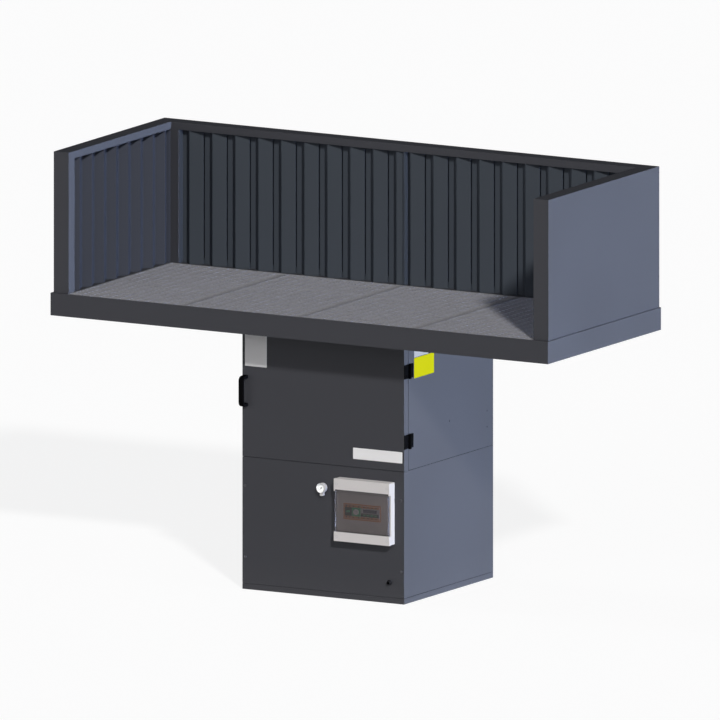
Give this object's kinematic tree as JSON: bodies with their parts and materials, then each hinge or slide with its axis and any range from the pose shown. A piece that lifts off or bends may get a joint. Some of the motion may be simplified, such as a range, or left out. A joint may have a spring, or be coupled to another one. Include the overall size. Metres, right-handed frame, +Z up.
{
  "type": "downdraft table",
  "caption": "Downdraft work table: wide tray with steel grating and three slatted suction walls on a central filter and fan cabinet with a hinged door and control box.",
  "frame": {"origin": "on the floor, under the middle of the table", "axes": "+X right along the length, +Y back towards the rear wall, +Z up"},
  "size_m": [2, 0.8, 1.518],
  "materials": {
    "paint": "fine grey powder coat",
    "slat_paint": "satin grey powder coat",
    "grating_zinc": "pale galvanised",
    "zinc": "galvanised sheet",
    "white_paint": "white",
    "smoked": "smoked clear",
    "black_plastic": "black",
    "black_metal": "black",
    "rubber": "black",
    "steel": "plain",
    "filter_cloth": "white felt",
    "motor_paint": "blue grey enamel",
    "green_plastic": "green",
    "dark_plastic": "dark grey",
    "grey_plastic": "light grey",
    "display": "dark violet",
    "pale_plastic": "pale",
    "clear": "clear",
    "white_plate": "white",
    "yellow_plate": "yellow"
  },
  "bodies": {
    "cabinet": {"tray": "paint", "grating_frame": "zinc", "left_wall_shell": "paint", "right_wall_shell": "paint", "back_wall_shell": "paint", "left_baffle": "slat_paint", "right_baffle": "slat_paint", "back_baffle_left": "slat_paint", "back_baffle_right": "slat_paint", "base_frame": "paint", "lower_housing": "paint", "lower_front_panel": "paint", "front_panel_screws": "steel", "upper_housing": "paint", "side_rivets": "paint", "hinge_body_leaves": "black_metal", "hinge_pins": "black_metal", "magnetic_catches": "black_plastic", "spark_trap": "zinc", "tube_sheet": "zinc", "filter_media": "filter_cloth", "filter_caps": "steel", "filter_rods": "steel", "filter_knobs": "black_plastic", "fan_plate": "zinc", "inlet_cone": "zinc", "motor_body": "motor_paint", "motor_stool": "paint", "outlet_grille": "paint", "control_box_base": "white_paint", "control_box_cover": "white_paint", "window_pins": "steel", "din_rail": "zinc", "switch_body": "dark_plastic", "button_body": "green_plastic", "controller_body": "grey_plastic", "controller_display": "display", "gauge_case": "pale_plastic", "gauge_lens": "clear", "cable_gland": "black_plastic", "side_label_plate": "yellow_plate", "side_note_plate": "white_plate"},
    "door": {"filter_door": "paint", "door_gasket": "rubber", "door_handle": "black_plastic", "hinge_door_leaves": "black_metal", "catch_strikes": "steel", "door_label_plate": "white_plate", "door_name_plate": "pale_plastic"},
    "grating_1": {"grating_panel_1": "grating_zinc"},
    "grating_2": {"grating_panel_2": "grating_zinc"},
    "grating_3": {"grating_panel_3": "grating_zinc"},
    "grating_4": {"grating_panel_4": "grating_zinc"},
    "rotor": {"impeller": "zinc", "motor_shaft": "steel"},
    "window": {"control_window": "smoked"},
    "rocker": {"switch_rocker": "green_plastic"},
    "button": {"push_button": "pale_plastic"},
    "needle": {"gauge_needle": "black_metal"}
  },
  "joints": [
    {"name": "door_hinge", "type": "hinge", "parent": "cabinet", "child": "door", "pos_m": [0.3315, -0.199, 0.6995], "axis": [0, 0, 1], "range_deg": [0, 110]},
    {"name": "grating_1_lift", "type": "slide", "parent": "cabinet", "child": "grating_1", "axis": [0, 0, 1], "range_m": [0, 0.15]},
    {"name": "grating_2_lift", "type": "slide", "parent": "cabinet", "child": "grating_2", "axis": [0, 0, 1], "range_m": [0, 0.15]},
    {"name": "grating_3_lift", "type": "slide", "parent": "cabinet", "child": "grating_3", "axis": [0, 0, 1], "range_m": [0, 0.15]},
    {"name": "grating_4_lift", "type": "slide", "parent": "cabinet", "child": "grating_4", "axis": [0, 0, 1], "range_m": [0, 0.15]},
    {"name": "fan_spin", "type": "hinge", "parent": "cabinet", "child": "rotor", "pos_m": [0, 0.085, 0.405], "axis": [0, 0, 1], "continuous": true},
    {"name": "window_hinge", "type": "hinge", "parent": "cabinet", "child": "window", "pos_m": [0.1753, -0.2645, 0.3896], "axis": [1, 0, 0], "range_deg": [-90, 0]},
    {"name": "rocker_hinge", "type": "hinge", "parent": "cabinet", "child": "rocker", "pos_m": [0.11625, -0.255, 0.3175], "axis": [1, 0, 0], "range_deg": [-25, 25]},
    {"name": "button_press", "type": "slide", "parent": "cabinet", "child": "button", "axis": [0, 1, 0], "range_m": [0, 0.003], "stiffness_N_per_m": 600},
    {"name": "needle_hinge", "type": "hinge", "parent": "cabinet", "child": "needle", "pos_m": [0, -0.2444, 0.388], "axis": [0, 1, 0], "range_deg": [0, 270], "stiffness_Nm_per_rad": 0.0002}
  ]
}
